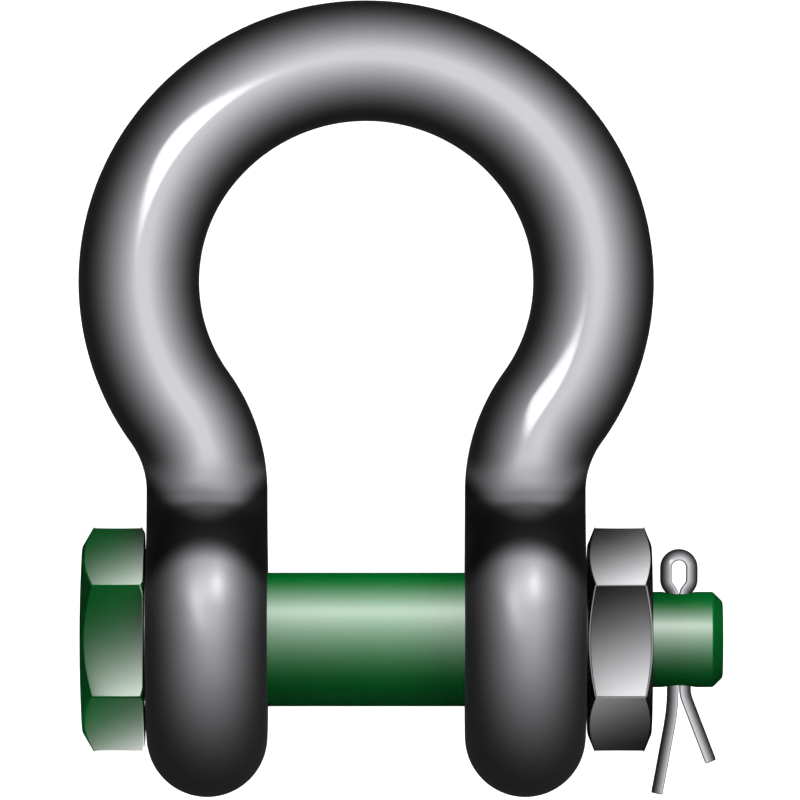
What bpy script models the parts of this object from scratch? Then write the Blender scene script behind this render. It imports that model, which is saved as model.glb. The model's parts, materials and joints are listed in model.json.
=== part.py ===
"""Bow shackle with a safety bolt, lying on its two eyes and its crown.

The bow is one forging. A hexagon-headed bolt closes it, a thin nut holds the bolt, and a split
cotter pin through the bolt's point keeps the nut on. Units are metres and +Z is up.

The pieces are modelled in the shackle's own frame: X along the bolt towards its point, Y from the
bolt to the crown, Z square to the bow. One empty then lays the whole shackle down.
"""

import math

import bmesh
import bpy
from mathutils import Vector

# Bow: a round bar bent in one plane, with a full-round eye at each end
BAR_DIAMETER = 0.0257
JAW_WIDTH = 0.0419
CROWN_RADIUS = 0.0490
CROWN_ANGLE = math.radians(53.5)
SHOULDER_RADIUS = 0.0455
THROAT_RADIUS = 0.0305
LIMB_LENGTH = 0.0314
EYE_DIAMETER = 0.0670
NECK_FILLET = 0.0085
HOLE_CHAMFER = 0.0008

# Bolt: hexagon head, plain shank, threaded stretch, smooth point
SHANK_DIAMETER = 0.0284
HEAD_ACROSS_FLATS = 0.0410
HEAD_THICKNESS = 0.0139
HEAD_FACE_DIAMETER = 0.0394
HEAD_DOME_RADIUS = 0.3500
HEAD_CHAMFER_ANGLE = math.radians(30)
HEAD_SEAT_CHAMFER = 0.0006
HEAD_FILLET = 0.0006
THREAD_DIAMETER = 0.0270
THREAD_INSIDE_EYE = 0.0020
POINT_DIAMETER = 0.0203
POINT_LENGTH = 0.0151
POINT_CHAMFER = 0.0021
DRILL_COUNTERSINK = 0.0007

# Nut
NUT_ACROSS_FLATS = 0.0410
NUT_THICKNESS = 0.0137
NUT_FACE_DIAMETER = 0.0400
NUT_CHAMFER_ANGLE = math.radians(22)
NUT_COUNTERSINK = 0.0012

# Cotter pin: half-round wire folded on itself, with its two legs spread unequally
WIRE_RADIUS = 0.00245
COTTER_FROM_NUT = 0.0058
COTTER_EYE_HEIGHT = 0.0091
COTTER_EYE_BORE = 0.0031
COTTER_MOUTH = 0.0003
COTTER_FLARE = 0.0018
COTTER_CORNER = 0.0005
LONG_LEG = 0.0187
LONG_LEG_ANGLE = math.radians(10.5)
LONG_LEG_BEND = 0.0450
SHORT_LEG = 0.0155
SHORT_LEG_ANGLE = math.radians(21.0)
SHORT_LEG_BEND = 0.0080

# Clearances between neighbours
HOLE_CLEARANCE = 0.0005
SEAT_GAP = 0.0003
THREAD_CLEARANCE = 0.0003
COTTER_CLEARANCE = 0.0003
LEG_GAP = 0.0002

# How finely the round shapes are divided
RING_POINTS = 32
BEND_STEP = math.radians(7)
EYE_STEP = math.radians(8)
NECK_STEPS = 4
TURNED_STEPS = 48
DOME_STEPS = 4
WIRE_SIDES = 9
WIRE_STEP = math.radians(12)

# A cutter runs past the face that it opens by this much
OVERRUN = 0.0010
MERGE = 0.00001

BAR_RADIUS = BAR_DIAMETER / 2
EYE_RADIUS = EYE_DIAMETER / 2
EYE_CENTRE = JAW_WIDTH / 2 + BAR_RADIUS
EYE_FACE = EYE_CENTRE + BAR_RADIUS
SHANK_RADIUS = SHANK_DIAMETER / 2
HOLE_RADIUS = SHANK_RADIUS + HOLE_CLEARANCE
THREAD_RADIUS = THREAD_DIAMETER / 2
POINT_RADIUS = POINT_DIAMETER / 2

# Places along the bolt, measured from the middle of the jaw
HEAD_SEAT = -EYE_FACE - SEAT_GAP
HEAD_END = HEAD_SEAT - HEAD_THICKNESS
NUT_SEAT = EYE_FACE + SEAT_GAP
NUT_END = NUT_SEAT + NUT_THICKNESS
POINT_END = NUT_END + POINT_LENGTH
COTTER_PLACE = NUT_END + COTTER_FROM_NUT

# The throat turns far enough to bring the widest part of the bow back in to the eyes
WIDEST = CROWN_RADIUS * math.sin(CROWN_ANGLE) + SHOULDER_RADIUS * (1 - math.sin(CROWN_ANGLE))
THROAT_ANGLE = math.acos(1 - (WIDEST - EYE_CENTRE) / (SHOULDER_RADIUS + THROAT_RADIUS))

# The bar's bends from the parallel limb up to the top of the crown: the radius, which is negative
# where the bar bends away from the other limb, and the angle turned
BENDS = [
    (-THROAT_RADIUS, THROAT_ANGLE),
    (SHOULDER_RADIUS, THROAT_ANGLE + math.pi / 2 - CROWN_ANGLE),
    (CROWN_RADIUS, CROWN_ANGLE),
]

# In side view a fillet on each side leads from the straight bar into the round eye
FILLET_OUT = BAR_RADIUS + NECK_FILLET
NECK_TOP = math.sqrt((EYE_RADIUS + NECK_FILLET) ** 2 - FILLET_OUT**2)
NECK_FOOT = NECK_TOP * EYE_RADIUS / (EYE_RADIUS + NECK_FILLET)


def side_direction(turned):
    """The direction across the bar, away from the other limb, once the bar has turned outwards."""
    return Vector((math.cos(turned), -math.sin(turned), 0))


def bar_frame(height):
    """Centre of the bar and its side direction, at a distance along the bar from the bolt's axis."""
    centre = Vector((EYE_CENTRE, min(height, LIMB_LENGTH), 0))
    turned = 0
    left = height - LIMB_LENGTH
    for radius, angle in BENDS:
        if left <= 0:
            break
        part = min(angle, left / abs(radius))
        pivot = centre - radius * side_direction(turned)
        turned -= math.copysign(part, radius)
        centre = pivot + radius * side_direction(turned)
        left -= part * abs(radius)
    return centre, side_direction(turned)


def half_width(height):
    """Half the width of the limb and the eye in side view."""
    if height >= NECK_TOP:
        return BAR_RADIUS
    if height > NECK_FOOT:
        return FILLET_OUT - math.sqrt(NECK_FILLET**2 - (NECK_TOP - height) ** 2)
    return math.sqrt(max(0, EYE_RADIUS**2 - height**2))


def depth_inside(height, z):
    """How far a point of the side view lies inside the outline of the limb, the fillet or the eye."""
    z = abs(z)
    if height >= NECK_TOP:
        return BAR_RADIUS - z
    if height * FILLET_OUT > z * NECK_TOP:
        return math.hypot(height - NECK_TOP, z - FILLET_OUT) - NECK_FILLET
    return EYE_RADIUS - math.hypot(height, z)


def half_thickness(height, z):
    """The rim is full round, so the thickness follows a circle of the bar's radius up to the flat faces."""
    short = BAR_RADIUS - min(BAR_RADIUS, max(0, depth_inside(height, z)))
    return math.sqrt(BAR_RADIUS**2 - short**2)


def ring(height):
    """One section across the limb or the eye, square to the bar."""
    centre, side = bar_frame(height)
    points = []
    for i in range(RING_POINTS):
        turn = math.tau * i / RING_POINTS
        z = half_width(height) * math.cos(turn)
        across = math.copysign(half_thickness(height, z), math.sin(turn))
        points.append(centre + across * side + Vector((0, 0, z)))
    return points


def ring_heights():
    """Where the sections lie, from just above the eye's foot up to the top of the crown."""
    eye_angle = math.acos(-NECK_FOOT / EYE_RADIUS)
    eye_steps = math.ceil(eye_angle / EYE_STEP)
    heights = [-EYE_RADIUS * math.cos(eye_angle * i / eye_steps) for i in range(1, eye_steps + 1)]
    fillet_angle = math.asin((NECK_TOP - NECK_FOOT) / NECK_FILLET)
    for i in range(1, NECK_STEPS + 1):
        heights.append(NECK_TOP - NECK_FILLET * math.sin(fillet_angle * (1 - i / NECK_STEPS)))
    bend_start = LIMB_LENGTH
    for radius, angle in BENDS:
        steps = math.ceil(angle / BEND_STEP)
        for i in range(1, steps + 1):
            height = bend_start + abs(radius) * angle * i / steps
            if height > NECK_TOP + NECK_FILLET / 4:
                heights.append(height)
        bend_start += abs(radius) * angle
    return heights


def add_empty(name, parent=None):
    empty = bpy.data.objects.new(name, None)
    model.objects.link(empty)
    empty.parent = parent
    return empty


def add_mesh(name, bm, collection, parent):
    mesh = bpy.data.meshes.new(name)
    bm.to_mesh(mesh)
    bm.free()
    obj = bpy.data.objects.new(name, mesh)
    collection.objects.link(obj)
    obj.parent = parent
    return obj


def turned(name, outline, collection, parent):
    """A turned solid about Z. Its outline gives (z, radius) from the upper end to the lower one."""
    bm = bmesh.new()
    verts = [bm.verts.new((radius, 0, z)) for z, radius in outline]
    for upper, lower in zip(verts, verts[1:]):
        bm.edges.new((upper, lower))
    obj = add_mesh(name, bm, collection, parent)
    screw = obj.modifiers.new("turning", "SCREW")
    screw.steps = TURNED_STEPS
    screw.render_steps = TURNED_STEPS
    screw.use_merge_vertices = True
    screw.merge_threshold = MERGE
    return obj


def hexagon(name, across_flats, low, high, collection, parent):
    """A hexagonal prism along Z, with two of its corners on Y."""
    bpy.ops.mesh.primitive_cylinder_add(
        vertices=6,
        radius=corner_radius(across_flats),
        depth=high - low,
        location=(0, 0, (low + high) / 2),
    )
    obj = bpy.context.object
    obj.name = name
    bpy.context.collection.objects.unlink(obj)
    collection.objects.link(obj)
    obj.parent = parent
    return obj


def corner_radius(across_flats):
    return across_flats / math.sqrt(3)


def combine(target, tool, operation):
    """Join a helper to the target, cut it away, or keep only what they share."""
    tool.hide_render = True
    tool.display_type = "WIRE"
    boolean = target.modifiers.new(tool.name, "BOOLEAN")
    boolean.object = tool
    boolean.operation = operation
    boolean.solver = "EXACT"


def finish(obj, colour, roughness, metallic):
    """Give a piece its own material and smooth its round faces."""
    material = bpy.data.materials.new(obj.name)
    material.use_nodes = True
    shader = material.node_tree.nodes["Principled BSDF"]
    shader.inputs["Base Color"].default_value = (*colour, 1)
    shader.inputs["Roughness"].default_value = roughness
    shader.inputs["Metallic"].default_value = metallic
    obj.data.materials.append(material)


def model_bow(parent):
    """Half the bow as a loft along the bar, mirrored, with a chamfered hole through each eye."""
    bm = bmesh.new()
    rings = [[bm.verts.new(point) for point in ring(height)] for height in ring_heights()]
    foot = bm.verts.new((EYE_CENTRE, -EYE_RADIUS, 0))
    for i in range(RING_POINTS):
        j = (i + 1) % RING_POINTS
        bm.faces.new((foot, rings[0][j], rings[0][i]))
        for lower, upper in zip(rings, rings[1:]):
            bm.faces.new((lower[i], lower[j], upper[j], upper[i]))
    bmesh.ops.recalc_face_normals(bm, faces=bm.faces)
    bow = add_mesh("bow", bm, model, parent)
    mirror = bow.modifiers.new("other_half", "MIRROR")
    mirror.merge_threshold = MERGE
    reach = BAR_RADIUS + OVERRUN
    flared = HOLE_RADIUS + HOLE_CHAMFER + OVERRUN
    inner = BAR_RADIUS - HOLE_CHAMFER
    outline = [(reach, 0), (reach, flared), (inner, HOLE_RADIUS)]
    outline += [(-z, radius) for z, radius in reversed(outline)]
    for name, place in (("left_hole", -EYE_CENTRE), ("right_hole", EYE_CENTRE)):
        hole = turned(name, outline, cutters, parent)
        hole.location = (place, 0, 0)
        hole.rotation_euler = (0, math.pi / 2, 0)
        combine(bow, hole, "DIFFERENCE")
    finish(bow, (0.09, 0.09, 0.10), 0.25, 0.9)
    return bow


def head_outline():
    """The head's turned form: a flat seat and a chamfer at each end of the corners, under a shallow dome."""
    slope = math.tan(HEAD_CHAMFER_ANGLE)
    corner = corner_radius(HEAD_ACROSS_FLATS)
    wide = corner + OVERRUN
    seat_edge = corner - HEAD_SEAT_CHAMFER / slope
    dome = []
    for i in range(DOME_STEPS + 1):
        radius = HEAD_FACE_DIAMETER / 2 * i / DOME_STEPS
        dome.append((HEAD_END + HEAD_DOME_RADIUS - math.sqrt(HEAD_DOME_RADIUS**2 - radius**2), radius))
    dome_edge, face_radius = dome[-1]
    return [
        (HEAD_SEAT, 0),
        (HEAD_SEAT, seat_edge),
        (HEAD_SEAT - (wide - seat_edge) * slope, wide),
        (dome_edge + (wide - face_radius) * slope, wide),
        *reversed(dome),
    ]


def model_bolt(parent):
    """The shank, thread and point turned in one, joined to the domed head and cross-drilled."""
    thread_start = EYE_FACE - THREAD_INSIDE_EYE
    core = HEAD_SEAT - HEAD_THICKNESS / 2
    bolt = turned(
        "bolt",
        [
            (POINT_END, 0),
            (POINT_END, POINT_RADIUS - POINT_CHAMFER),
            (POINT_END - POINT_CHAMFER, POINT_RADIUS),
            (NUT_END, POINT_RADIUS),
            (NUT_END - (THREAD_RADIUS - POINT_RADIUS), THREAD_RADIUS),
            (thread_start, THREAD_RADIUS),
            (thread_start - (SHANK_RADIUS - THREAD_RADIUS), SHANK_RADIUS),
            (HEAD_SEAT + HEAD_FILLET, SHANK_RADIUS),
            (HEAD_SEAT, SHANK_RADIUS + HEAD_FILLET),
            (core, SHANK_RADIUS + HEAD_FILLET),
            (core, 0),
        ],
        model,
        parent,
    )
    head = hexagon("head", HEAD_ACROSS_FLATS, HEAD_END - OVERRUN, HEAD_SEAT + OVERRUN, cutters, parent)
    combine(head, turned("head_blank", head_outline(), cutters, parent), "INTERSECT")
    combine(bolt, head, "UNION")
    drill_radius = WIRE_RADIUS + LEG_GAP / 2 + COTTER_CLEARANCE
    drill_reach = POINT_RADIUS + OVERRUN
    outline = [
        (drill_reach, 0),
        (drill_reach, drill_radius + DRILL_COUNTERSINK + OVERRUN),
        (POINT_RADIUS - DRILL_COUNTERSINK, drill_radius),
    ]
    outline += [(-z, radius) for z, radius in reversed(outline)]
    drill = turned("cotter_drill", outline, cutters, parent)
    drill.location = (0, 0, COTTER_PLACE)
    drill.rotation_euler = (math.pi / 2, 0, 0)
    combine(bolt, drill, "DIFFERENCE")
    finish(bolt, (0.01, 0.22, 0.08), 0.25, 0.2)
    return bolt


def model_nut(parent):
    """A hexagon with chamfered corners on both faces and a countersunk bore."""
    middle = (NUT_SEAT + NUT_END) / 2
    half = NUT_THICKNESS / 2
    wide = corner_radius(NUT_ACROSS_FLATS) + OVERRUN
    face = NUT_FACE_DIAMETER / 2
    chamfer = (wide - face) * math.tan(NUT_CHAMFER_ANGLE)
    outline = [(half, 0), (half, face), (half - chamfer, wide)]
    outline += [(-z, radius) for z, radius in reversed(outline)]
    nut = hexagon("nut", NUT_ACROSS_FLATS, NUT_SEAT - OVERRUN, NUT_END + OVERRUN, model, parent)
    blank = turned("nut_blank", outline, cutters, parent)
    blank.location = (0, 0, middle)
    combine(nut, blank, "INTERSECT")
    bore_radius = THREAD_RADIUS + THREAD_CLEARANCE
    reach = half + OVERRUN
    outline = [
        (reach, 0),
        (reach, bore_radius + NUT_COUNTERSINK + OVERRUN),
        (half - NUT_COUNTERSINK, bore_radius),
    ]
    outline += [(-z, radius) for z, radius in reversed(outline)]
    bore = turned("nut_bore", outline, cutters, parent)
    bore.location = (0, 0, middle)
    combine(nut, bore, "DIFFERENCE")
    finish(nut, (0.35, 0.35, 0.37), 0.3, 1.0)
    return nut


def rounded(corners):
    """Points along straight runs, with an arc of its own radius at each inner corner."""
    points = [corners[0][0]]
    for (before, _), (corner, radius), (after, _) in zip(corners, corners[1:], corners[2:]):
        into = (corner - before).normalized()
        out = (after - corner).normalized()
        turn = into.angle(out)
        start = corner - into * radius * math.tan(turn / 2)
        centre = corner + (out - into).normalized() * radius / math.cos(turn / 2)
        steps = math.ceil(turn / WIRE_STEP)
        for i in range(steps + 1):
            angle = turn * i / steps
            points.append(centre + (start - centre) * math.cos(angle) + into * radius * math.sin(angle))
    points.append(corners[-1][0])
    return points


def cotter_leg(side, angle, bend, length):
    """Corners from a leg's tip up to the eye: side is -1 towards the nut and +1 towards the point's end."""
    flat = side * LEG_GAP / 2
    mouth = POINT_RADIUS + COTTER_MOUTH
    knee = Vector((flat, -mouth - bend * math.tan(angle / 2)))
    tip = knee + length * Vector((side * math.sin(angle), -math.cos(angle)))
    eye_side = side * COTTER_EYE_BORE / 2
    eye_top = POINT_RADIUS + COTTER_EYE_HEIGHT - WIRE_RADIUS
    return [
        (tip, 0),
        (knee, bend),
        (Vector((flat, mouth)), WIRE_RADIUS + COTTER_CORNER),
        (Vector((eye_side, mouth + COTTER_FLARE)), COTTER_EYE_BORE / 2),
        (Vector((eye_side, eye_top)), COTTER_EYE_BORE / 2),
    ]


def model_cotter_pin(parent):
    """Half-round wire swept along the inner line of the folded pin, flat side inwards."""
    profile = bpy.data.curves.new("half_round", "CURVE")
    section = profile.splines.new("POLY")
    section.points.add(WIRE_SIDES - 1)
    for i, point in enumerate(section.points):
        angle = math.pi * (i / (WIRE_SIDES - 1) - 0.5)
        point.co = (-WIRE_RADIUS * math.cos(angle), WIRE_RADIUS * math.sin(angle), 0, 1)
    section.use_cyclic_u = True
    profile_object = bpy.data.objects.new("half_round", profile)
    profile_object.hide_render = True
    cutters.objects.link(profile_object)

    corners = cotter_leg(-1, LONG_LEG_ANGLE, LONG_LEG_BEND, LONG_LEG)
    corners += reversed(cotter_leg(1, SHORT_LEG_ANGLE, SHORT_LEG_BEND, SHORT_LEG))
    path = rounded(corners)
    wire = bpy.data.curves.new("cotter_pin", "CURVE")
    wire.dimensions = "2D"
    wire.fill_mode = "NONE"
    wire.bevel_mode = "OBJECT"
    wire.bevel_object = profile_object
    wire.use_fill_caps = True
    spline = wire.splines.new("POLY")
    spline.points.add(len(path) - 1)
    for point, place in zip(spline.points, path):
        point.co = (*place, 0, 1)
    pin = bpy.data.objects.new("cotter_pin", wire)
    model.objects.link(pin)
    pin.parent = parent
    pin.location = (0, 0, COTTER_PLACE)
    pin.rotation_euler = (0, -math.pi / 2, 0)
    finish(pin, (0.6, 0.6, 0.62), 0.3, 1.0)
    return pin


def lay_down(empty):
    """Turn the shackle until its eyes and its crown both touch the floor, and centre it there."""
    crown_height = bar_frame(LIMB_LENGTH + sum(abs(radius) * angle for radius, angle in BENDS))[0].y
    tilt = math.asin((EYE_RADIUS - BAR_RADIUS) / crown_height)
    reach = crown_height * math.cos(tilt) + BAR_RADIUS
    empty.location = (-(HEAD_END + POINT_END) / 2, -(reach - EYE_RADIUS) / 2, EYE_RADIUS)
    empty.rotation_euler = (-tilt, 0, 0)


for old in list(bpy.data.objects):
    bpy.data.objects.remove(old)
model = bpy.data.collections.new("lifting_shackle")
cutters = bpy.data.collections.new("cutters")
for collection in (model, cutters):
    bpy.context.scene.collection.children.link(collection)

resting = add_empty("resting_pose")
lay_down(resting)
bolt_axis = add_empty("bolt_axis", resting)
bolt_axis.rotation_euler = (0, math.pi / 2, 0)
model_bow(resting)
model_bolt(bolt_axis)
model_nut(bolt_axis)
model_cotter_pin(bolt_axis)
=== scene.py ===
# %% [markdown]
# A bow shackle lies on a pale floor: a forged bow, a bolt with a hexagon head, a thin nut and a split
# cotter pin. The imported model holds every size, joint and resting place, so it is loaded first and
# nothing in it moves. This lesson builds finer pieces over it and gives each one its finish.

import json
import math

import bmesh
import bpy
from mathutils import Matrix, Vector


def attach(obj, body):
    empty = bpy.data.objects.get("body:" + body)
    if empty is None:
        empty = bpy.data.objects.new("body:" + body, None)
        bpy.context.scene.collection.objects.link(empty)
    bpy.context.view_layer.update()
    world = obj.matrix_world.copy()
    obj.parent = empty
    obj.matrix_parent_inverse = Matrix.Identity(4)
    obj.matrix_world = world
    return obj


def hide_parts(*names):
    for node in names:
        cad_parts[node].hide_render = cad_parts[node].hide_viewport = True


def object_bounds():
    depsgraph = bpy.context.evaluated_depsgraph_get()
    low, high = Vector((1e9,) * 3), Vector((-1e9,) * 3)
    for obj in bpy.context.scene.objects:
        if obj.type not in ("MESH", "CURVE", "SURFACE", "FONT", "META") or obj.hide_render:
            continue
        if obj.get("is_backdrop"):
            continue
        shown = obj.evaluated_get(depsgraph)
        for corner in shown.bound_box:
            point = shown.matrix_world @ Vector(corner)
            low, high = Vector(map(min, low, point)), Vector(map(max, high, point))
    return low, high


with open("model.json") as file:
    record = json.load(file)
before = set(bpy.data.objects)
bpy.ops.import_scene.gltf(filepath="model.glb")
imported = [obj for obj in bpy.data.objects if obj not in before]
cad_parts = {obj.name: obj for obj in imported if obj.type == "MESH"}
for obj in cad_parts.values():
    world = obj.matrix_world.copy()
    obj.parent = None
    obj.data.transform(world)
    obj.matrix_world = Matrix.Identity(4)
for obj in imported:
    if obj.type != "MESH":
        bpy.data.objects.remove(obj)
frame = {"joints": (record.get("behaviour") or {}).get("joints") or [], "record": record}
cad_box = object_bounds()

# %% [markdown]
# The shackle lies on its two eyes and its crown, so its bow leans by about ten degrees. It is far
# easier to model it flat: X along the bolt towards its point, Y from the bolt to the crown, Z square
# to the bow, with the middle of the jaw at the origin. One matrix then lays a finished piece down.
# The bolt's hinge gives the origin, and the spanner flat on the head gives the direction of Z.

# %% Read the resting place
bolt_hinge = next(joint for joint in frame["joints"] if joint["name"] == "bolt_turn")
jaw_middle = Vector(bolt_hinge["pos_m"])
spanner_flat = next(mount for mount in frame["record"]["mounts"] if mount["name"] == "head_flat")
bow_normal = Vector(spanner_flat["axis"]).normalized()
lean = math.atan2(bow_normal.y, bow_normal.z)
resting = Matrix.Translation(jaw_middle) @ Matrix.Rotation(-lean, 4, "X")
print("the bow leans by", round(math.degrees(lean), 2), "degrees")

# %% [markdown]
# The picture is taken square to the bow and shows no perspective. A very long lens from far away
# comes closest to that and still works for every other view. The shackle fills the square picture:
# one pixel is 0.2125 mm, and two named pixels say where the jaw's middle lies in it.

# %% Camera
IMAGE_SIDE = 800
METRES_A_PIXEL = 0.0002125
JAW_MIDDLE_PIXEL = (366.15, 639.5)
LENS = 600.0
SENSOR = 36.0
SIGHT = 100.0

camera_data = bpy.data.cameras.new("camera")
camera_data.lens = LENS
camera_data.sensor_width = SENSOR
camera_data.clip_end = SIGHT
camera = bpy.data.objects.new("camera", camera_data)
bpy.context.scene.collection.objects.link(camera)
bpy.context.scene.camera = camera
aim_flat = Vector((
    (IMAGE_SIDE / 2 - JAW_MIDDLE_PIXEL[0]) * METRES_A_PIXEL,
    (JAW_MIDDLE_PIXEL[1] - IMAGE_SIDE / 2) * METRES_A_PIXEL,
    0,
))
camera_distance = IMAGE_SIDE * METRES_A_PIXEL * LENS / SENSOR
camera.matrix_world = resting @ Matrix.Translation(aim_flat + Vector((0, 0, camera_distance)))
print("the camera stands", round(camera_distance, 2), "m above the bow")

# %% [markdown]
# Shader patterns read best as arithmetic. This class wraps one socket, so that adding, multiplying or
# raising two patterns makes the Math nodes by itself. Every other node comes from one method, which
# takes the node's type, its settings, and the values or links of its sockets.


# %% A small language for shader nodes
class Pattern:
    """One value in a node tree. Arithmetic on it adds Math nodes."""

    def __init__(self, nodes, socket):
        self.nodes = nodes
        self.socket = socket

    def maths(self, operation, *terms):
        sockets = dict(enumerate(terms))
        return self.nodes.add("ShaderNodeMath", {"operation": operation}, sockets)

    def __add__(self, other):
        return self.maths("ADD", self, other)

    def __radd__(self, other):
        return self.maths("ADD", other, self)

    def __sub__(self, other):
        return self.maths("SUBTRACT", self, other)

    def __rsub__(self, other):
        return self.maths("SUBTRACT", other, self)

    def __mul__(self, other):
        return self.maths("MULTIPLY", self, other)

    def __rmul__(self, other):
        return self.maths("MULTIPLY", other, self)

    def __truediv__(self, other):
        return self.maths("DIVIDE", self, other)

    def __pow__(self, other):
        return self.maths("POWER", self, other)

    def ramp(self, start, end, low=0.0, high=1.0, curve="LINEAR"):
        """From low at start to high at end, and flat outside them."""
        values = {0: self, "From Min": start, "From Max": end, "To Min": low, "To Max": high}
        return self.nodes.add("ShaderNodeMapRange", {"interpolation_type": curve}, values)

    def fade(self, start, end, low=0.0, high=1.0):
        """The same, but eased at both ends. The start may be the larger number."""
        if start > end:
            start, end, low, high = end, start, high, low
        return self.ramp(start, end, low, high, "SMOOTHSTEP")

    def band(self, start, full, fading, end):
        """1 between the two middle values, and eased to 0 at the outer two."""
        return self.fade(start, full) * self.fade(end, fading)

    def absolute(self):
        return self.maths("ABSOLUTE", self)


class Nodes:
    """A node tree with one way to add a node."""

    def __init__(self, tree):
        self.tree = tree

    def plug(self, socket, value):
        if isinstance(value, Pattern):
            self.tree.links.new(value.socket, socket)
        else:
            socket.default_value = value

    def add(self, kind, settings=None, sockets=None, output=0):
        node = self.tree.nodes.new(kind)
        for name, value in (settings or {}).items():
            setattr(node, name, value)
        for name, value in (sockets or {}).items():
            self.plug(node.inputs[name], value)
        return Pattern(self, node.outputs[output])

    def mix(self, share, first, second):
        """The first colour where share is 0, the second where it is 1."""
        sockets = {"Factor": share, 6: first, 7: second}
        return self.add("ShaderNodeMix", {"data_type": "RGBA"}, sockets, output=2)


print("patterns add, multiply and fade like numbers")

# %% [markdown]
# The light comes from three large domes, one inside the other. Each is a clear sphere that glows by a
# pattern of direction and that the camera doesn't see. A sphere is used and not the world, because an
# object's light can be kept to chosen pieces, and each finish here asks for its own: the steel of the bow
# and the cotter pin, the painted bolt, and the plated nut. The steel's dome is brightest a little above
# the camera, to the right, and falls away towards the floor, so a round bar shows a pale band that
# darkens evenly to nearly black edges. The other two glow in a wide ring all round the sides, and the
# paint takes its ring as soft light only, because a reflection of it would whiten the gloss. The world
# behind them is white for the camera alone.

# %% Light domes
DOME_SEGMENTS = 64
DOME_RINGS = 32
BAND_TILT_RIGHT = math.radians(5.0)
BAND_TILT_UP = math.radians(5.5)
STEEL_DOME_RADIUS = 25.0
STEEL_BRIGHTNESS = 2.13
STEEL_FLAT = math.radians(12)
STEEL_DARK = math.radians(142)
STEEL_FALL = 2.7
STEEL_LEAST = 0.03
PAINT_DOME_RADIUS = 24.0
PAINT_RING = (0.18, math.radians(25), math.radians(60), math.radians(95), math.radians(120))
PLATE_DOME_RADIUS = 23.0
PLATE_RING = (0.50, math.radians(25), math.radians(60), math.radians(85), math.radians(108))


def light_direction(tilt_right, tilt_up):
    """Where a light stands whose reflection shows on a surface tilted that far from the camera."""
    flat = Vector((math.sin(2 * tilt_right), math.sin(2 * tilt_up), 0))
    flat.z = math.sqrt(1 - flat.length_squared)
    return resting.to_3x3() @ flat


def make_glow(obj, name, glow_from_place):
    """Turn a mesh into a clear, glowing sheet. Its brightness is a pattern of the place on it."""
    obj.name = name
    obj.visible_camera = False
    obj.visible_shadow = False
    material = bpy.data.materials.new(name)
    material.use_nodes = True
    material.node_tree.nodes.remove(material.node_tree.nodes["Principled BSDF"])
    nodes = Nodes(material.node_tree)
    place = nodes.add("ShaderNodeTexCoord", output="Object")
    glow = nodes.add("ShaderNodeEmission", sockets={"Strength": glow_from_place(nodes, place)})
    clear = nodes.add("ShaderNodeBsdfTransparent")
    both = nodes.add("ShaderNodeAddShader", sockets={0: glow, 1: clear})
    nodes.plug(material.node_tree.nodes["Material Output"].inputs["Surface"], both)
    obj.data.materials.append(material)
    obj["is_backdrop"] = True
    return material


def new_dome(name, radius, glow_from_place):
    """A sphere round everything, glowing inwards."""
    bpy.ops.object.select_all(action="DESELECT")
    bpy.ops.mesh.primitive_uv_sphere_add(
        segments=DOME_SEGMENTS, ring_count=DOME_RINGS, radius=radius
    )
    dome = bpy.context.object
    make_glow(dome, name, glow_from_place).cycles.emission_sampling = "NONE"
    return dome


def angle_from(nodes, place, middle):
    """The angle between a place, seen from the origin, and the direction middle."""
    direction = nodes.add("ShaderNodeVectorMath", {"operation": "NORMALIZE"}, {0: place})
    closeness = nodes.add(
        "ShaderNodeVectorMath", {"operation": "DOT_PRODUCT"}, {0: direction, 1: middle}, output="Value"
    )
    return closeness.maths("ARCCOSINE", closeness)


def steel_glow(nodes, place):
    """One wide bright spot that falls away to a low, even glow."""
    share = angle_from(nodes, place, brightest).ramp(STEEL_FLAT, STEEL_DARK, 1.0, 0.0)
    return share**STEEL_FALL * STEEL_BRIGHTNESS + STEEL_LEAST


def ring_glow(brightness, *angles):
    """A glowing ring, between four angles from the direction square to the bow."""

    def glow(nodes, place):
        return angle_from(nodes, place, bow_normal).band(*angles) * brightness

    return glow


brightest = light_direction(BAND_TILT_RIGHT, BAND_TILT_UP)
steel_dome = new_dome("steel_dome", STEEL_DOME_RADIUS, steel_glow)
paint_dome = new_dome("paint_dome", PAINT_DOME_RADIUS, ring_glow(*PAINT_RING))
paint_dome.visible_glossy = False
plate_dome = new_dome("plate_dome", PLATE_DOME_RADIUS, ring_glow(*PLATE_RING))

world = bpy.data.worlds.new("white")
world.use_nodes = True
background = world.node_tree.nodes["Background"]
background.inputs["Color"].default_value = (1, 1, 1, 1)
nodes = Nodes(world.node_tree)
nodes.plug(background.inputs["Strength"], nodes.add("ShaderNodeLightPath", output="Is Camera Ray"))
bpy.context.scene.world = world
bpy.context.scene.view_settings.view_transform = "Standard"
print("steel dome: brightest towards", [round(x, 2) for x in brightest])

# %% [markdown]
# The floor is a wide sheet of pale card. Polished steel would mirror it and lose its dark edges, and a
# photographer would hang black card just outside the picture for that. Here the floor is hidden from
# reflections instead. It still throws its soft light up at the bolt.

# %% Floor
FLOOR_SIDE = 60.0
CARD_COLOUR = (0.86, 0.86, 0.86)
CARD_ROUGHNESS = 0.9

bpy.ops.object.select_all(action="DESELECT")
bpy.ops.mesh.primitive_plane_add(size=FLOOR_SIDE)
floor = bpy.context.object
floor.name = "floor"
floor.visible_glossy = False
card = bpy.data.materials.new("pale_card")
card.use_nodes = True
card_shader = card.node_tree.nodes["Principled BSDF"]
card_shader.inputs["Base Color"].default_value = (*CARD_COLOUR, 1)
card_shader.inputs["Roughness"].default_value = CARD_ROUGHNESS
card_shader.inputs["Specular IOR Level"].default_value = 0.0
floor.data.materials.append(card)
floor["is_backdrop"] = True
print("floor:", FLOOR_SIDE, "m square")

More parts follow.
